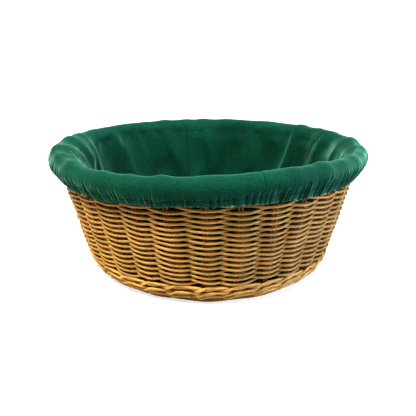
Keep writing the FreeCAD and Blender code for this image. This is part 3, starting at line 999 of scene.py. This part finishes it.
def cloth_grid():
    """The liner's face after it settled: points, lengths across, and distances from the floor seam.

    The gathers at the hem are set last, and the lengths along are those before them.
    """
    azimuth = np.arange(COARSE_COLUMNS) * 360.0 / COARSE_COLUMNS
    radius, z = cloth_section(azimuth)
    rows = np.arange(len(z))[:, None] * np.ones_like(z)
    turn = azimuth * np.ones_like(z)
    smooth = polar(radius, turn, z)
    across_slack, along_slack = cut_slack(turn, rows)

    back = FLOOR_SHIFT * np.cos(np.radians(turn)) * (1 - smooth_step(rows, 3, LIP_ROW))
    proud = support(turn, rows)
    held = smooth + proud[..., None] * face_normals(smooth)
    start = (lengths_across(smooth), lengths_along(held))
    final = (lengths_across(held) * across_slack, start[1] * along_slack[1:])
    height = proud + on_wall(rows) * 0.2 * MM * (1 + wall_fold(turn, rows * 0.003))
    height += 0.2 * MM * roll_wave(turn, rows * 0.003)
    points = polar(radius, turn + back, z)
    points = points + height[..., None] * face_normals(points)
    free = np.ones((len(points), 1, 1))
    free[0] = free[-1] = 0
    points = settle(points, start, final, proud, free)

    for _ in range(3):
        points = smooth_across(points)
        inside = points[:LIP_ROW - 2]
        inside[1:-1] = (inside[:-2] + 2 * inside[1:-1] + inside[2:]) / 4
        keep_off(points, INNER_ROWS, proud)
    points = refine(points)
    keep_off(points, 2 * INNER_ROWS, refine(proud))

    along = lengths_along(points)
    azimuth = np.arange(points.shape[1]) * 360.0 / points.shape[1]
    rows = np.arange(len(points))[:, None] / 2 * np.ones(points.shape[:2])
    points = points + gathers(azimuth, rows)[..., None] * face_normals(points)
    long = np.concatenate([np.zeros((1, along.shape[1])), np.cumsum(along, axis=0)])
    return points, lengths_across(points), long


def press_lines(points, across):
    """Presses the seams and the hem's stitch line into the settled cloth."""
    columns = points.shape[1]
    column = np.arange(columns)
    depth = np.zeros(across.shape)
    for seam in SEAMS:
        away = (column - seam_column(seam) + columns / 2) % columns - columns / 2
        away = np.abs(away * across)
        depth -= DITCH_DEPTH * np.exp(-(away / DITCH_WIDTH) ** 2)
    row = np.arange(len(points))[:, None]
    depth -= DITCH_DEPTH * np.exp(-((row - STITCH_ROW) / 0.8) ** 2)
    return points + depth[..., None] * face_normals(points)


def seam_column(seam):
    return int(round((seam % 360) * FINE * COARSE_COLUMNS / 360))


def sheet_mesh(name, points, across, along, thickness=CLOTH, weld=False):
    """A closed sheet from a grid of points, which are on the side that shows."""
    rows, columns = points.shape[:2]
    number = np.arange(rows * columns).reshape(rows, columns)
    corners = [number[:-1, :-1], number[1:, :-1], number[1:, 1:], number[:-1, 1:]]
    faces = np.stack(corners, axis=-1).reshape(-1, 4)
    uv = np.stack([across, along], axis=-1).reshape(-1, 2)[faces.ravel()]
    piece = mesh_object(name, points.reshape(-1, 3), faces.tolist(), uv)
    if weld:
        merged = bmesh.new()
        merged.from_mesh(piece.data)
        bmesh.ops.remove_doubles(merged, verts=merged.verts, dist=0.001 * MM)
        merged.to_mesh(piece.data)
        merged.free()
    thicken = piece.modifiers.new("thickness", "SOLIDIFY")
    thicken.thickness = thickness
    thicken.offset = -1
    thicken.use_even_offset = False
    with bpy.context.temp_override(object=piece, active_object=piece):
        bpy.ops.object.modifier_apply(modifier=thicken.name)
    return piece


def gores(points, across, along):
    ends = SEAMS[1:] + (SEAMS[0] + 360,)
    for i, (start, end) in enumerate(zip(SEAMS, ends)):
        first = seam_column(start)
        count = int(round((end - start) * points.shape[1] / 360))
        columns = np.arange(first, first + count + 1) % points.shape[1]
        name = "liner_gore_%d" % (i + 1)
        wide = np.cumsum(across[:, columns[:-1]], axis=1)
        wide = np.concatenate([np.zeros((len(points), 1)), wide], axis=1)
        wide -= wide.mean(axis=1, keepdims=True)
        piece = sheet_mesh(name + "_cloth", points[:, columns], wide, along[:, columns])
        add_piece(piece, COTTON, "liner", "liner_cloth", name)


def floor_panel():
    """The liner's round floor, nearly flat on the base, with a few soft waves."""
    edge = FLOOR_PANEL_RADIUS + 0.3 * MM
    azimuth = np.linspace(0, 360, FLOOR_COLUMNS + 1)
    reach = np.linspace(0, edge, FLOOR_ROWS + 1)[:, None]
    turn = np.broadcast_to(azimuth, (len(reach), len(azimuth)))
    fade = 1 - smooth_step(reach / edge, 0.8, 1.0)
    waves = floor_wave(turn, reach) * smooth_step(reach / edge, 0.0, 0.3)
    z = FLOOR_Z + fade * np.maximum(0.5 * MM + 0.4 * MM * waves, 0)
    points = polar(reach, turn, z)
    piece = sheet_mesh("liner_floor_cloth", points, points[..., 0], points[..., 1], weld=True)
    add_piece(piece, COTTON, "liner", "liner_cloth", "liner_floor_panel")


def strip(name, points, wide, thickness):
    """A sheet that goes round the hem, and its length from edge to edge."""
    long = np.concatenate([[0], np.cumsum(lengths_along(points).mean(axis=1))])
    grid = np.broadcast_arrays(wide, long[:, None])
    return sheet_mesh(name, points, *grid, thickness), float(long[-1])


def hem(points, across):
    """The hem's turned-up casing and the elastic in it."""
    closed = np.append(np.arange(points.shape[1]), 0)
    normals = face_normals(points)
    for _ in range(NORMAL_PASSES):
        normals = smooth_across(normals)
    normals = (normals / np.linalg.norm(normals, axis=-1, keepdims=True))[:, closed]
    points = points[:, closed]
    wide = np.concatenate([np.zeros(1), np.cumsum(across[-1])])
    fold = (2 * CLOTH + ELASTIC_ROOM) / 2
    rows = []
    for angle in np.radians((20, 65, 115, 160)):
        drop = np.array((0, 0, -fold * math.sin(angle)))
        rows.append(points[-1] - fold * (1 - math.cos(angle)) * normals[-1] + drop)
    for row in range(len(points) - 1, STITCH_ROW - 2, -1):
        rows.append(points[row] - 2 * fold * normals[row])
    piece, length = strip("hem_casing", np.array(rows), wide, CLOTH)
    add_piece(piece, COTTON, "liner", "liner_cloth", "liner_skirt")

    inset = CLOTH + 0.1 * MM
    band = points[STITCH_ROW + 1:] - inset * normals[STITCH_ROW + 1:]
    piece, _ = strip("hem_elastic_band", band, wide, ELASTIC_ROOM - 0.3 * MM)
    add_piece(piece, ELASTIC, "liner", "elastic", "hem_elastic")


def stitches(line, normals, sink):
    """Short threads one after another on a line of cloth points, each end going down into the cloth."""
    length = lengths_to(line)
    made = []
    for start in np.arange(STITCH_PITCH / 2, length[-1] - STITCH_PITCH, STITCH_PITCH):
        at = start + STITCH_LENGTH * np.array((0.0, 0.22, 0.78, 1.0))
        places = np.stack([np.interp(at, length, line[:, k]) for k in range(3)], axis=-1)
        up = np.stack([np.interp(at, length, normals[:, k]) for k in range(3)], axis=-1)
        lift = np.array((-0.35, 0.08, 0.08, -0.35)) * MM - sink
        made.append((places + lift[:, None] * up, THREAD_RADIUS, 0.5))
    return made


def stitching(points):
    """The stitch line that closes the hem's casing, and the stitches down in the four seams."""
    normals = face_normals(points)
    closed = np.append(np.arange(points.shape[1]), 0)
    ring = stitches(points[STITCH_ROW, closed], normals[STITCH_ROW, closed], 0.0)
    add_piece(rods("hem_stitches", ring, THREAD_SIDES), THREAD, "liner", "thread")
    lines = []
    for seam in SEAMS:
        column = seam_column(seam)
        lines += stitches(points[:STITCH_ROW, column], normals[:STITCH_ROW, column], 0.12 * MM)
    piece = rods("seam_stitches", lines, THREAD_SIDES)
    add_piece(piece, THREAD, "liner", "thread", "liner_seam_threads")


def liner():
    points, across, along = cloth_grid()
    points = press_lines(points, across)
    gores(points, across, along)
    floor_panel()
    hem(points, across)
    stitching(points)


def build():
    siding_weavers()
    wales()
    stakes()
    border()
    base()
    foot_ring()
    liner()


# Studio

def area_light(name, place, target, size, power, colour):
    data = bpy.data.lights.new(name, "AREA")
    data.shape = "RECTANGLE"
    data.size, data.size_y = size
    data.energy = power
    data.color = colour
    light = scene_object(name, data)
    light.location = place
    light.rotation_euler = (Vector(target) - Vector(place)).to_track_quat("-Z", "Y").to_euler()


def studio():
    floor_mesh = bpy.data.meshes.new("studio_floor")
    side = 4.0
    corners = [(x * side, y * side, 0) for x, y in ((-1, -1), (1, -1), (1, 1), (-1, 1))]
    floor_mesh.from_pydata(corners, [], [(0, 1, 2, 3)])
    floor = scene_object("studio_floor", floor_mesh)
    n = Nodes("studio floor")
    seen = n.add("LightPath").outputs["Is Camera Ray"]
    n.link(n.mix(seen, (*grey(0.42), 1), (*grey(0.62), 1)), "Base Color")
    n.link(n.mix(seen, (*grey(0.04), 1), (*grey(0.50), 1)), "Emission Color")
    n.set(Roughness=0.9, Specular_IOR_Level=0.1, Emission_Strength=1.0)
    floor_mesh.materials.append(n.material)

    world = bpy.data.worlds.new("studio")
    world.use_nodes = True
    nodes, links = world.node_tree.nodes, world.node_tree.links
    soft = nodes["Background"]
    soft.inputs["Color"].default_value = (1, 1, 1, 1)
    soft.inputs["Strength"].default_value = SOFT_LIGHT
    backdrop = nodes.new("ShaderNodeBackground")
    seen = nodes.new("ShaderNodeLightPath")
    mix = nodes.new("ShaderNodeMixShader")
    links.new(seen.outputs["Is Camera Ray"], mix.inputs["Fac"])
    links.new(soft.outputs[0], mix.inputs[1])
    links.new(backdrop.outputs[0], mix.inputs[2])
    backdrop.inputs["Color"].default_value = (1, 1, 1, 1)
    links.new(mix.outputs[0], nodes["World Output"].inputs["Surface"])
    bpy.context.scene.world = world
    view = bpy.context.scene.view_settings
    view.view_transform = "Standard"
    view.look = "High Contrast"

    middle = (0, 0, 0.08)
    overhead = bpy.data.lights.new("overhead", "SUN")
    overhead.energy = 2.4
    overhead.angle = math.radians(26)
    lamp = scene_object("overhead", overhead)
    lamp.rotation_euler = Vector((0.18, -0.05, 1.0)).to_track_quat("Z", "Y").to_euler()
    area_light("key", (-0.75, -0.95, 1.75), middle, (0.5, 0.4), 34, (1.0, 0.92, 0.76))
    area_light("side", (1.2, -0.4, 0.4), middle, (0.6, 0.6), 11.5, (0.66, 0.77, 1.0))
    area_light("left", (-1.2, -0.5, 0.35), middle, (0.6, 0.6), 2.6, (1.0, 0.90, 0.72))


def camera():
    data = bpy.data.cameras.new("camera")
    data.lens = CAMERA_LENS
    data.sensor_width = SENSOR
    data.clip_start = 0.01
    eye = scene_object("camera", data)
    eye.location = CAMERA_PLACE
    eye.rotation_euler = (math.radians(90 - CAMERA_PITCH), 0, 0)
    bpy.context.scene.camera = eye


camera()
build()
studio()
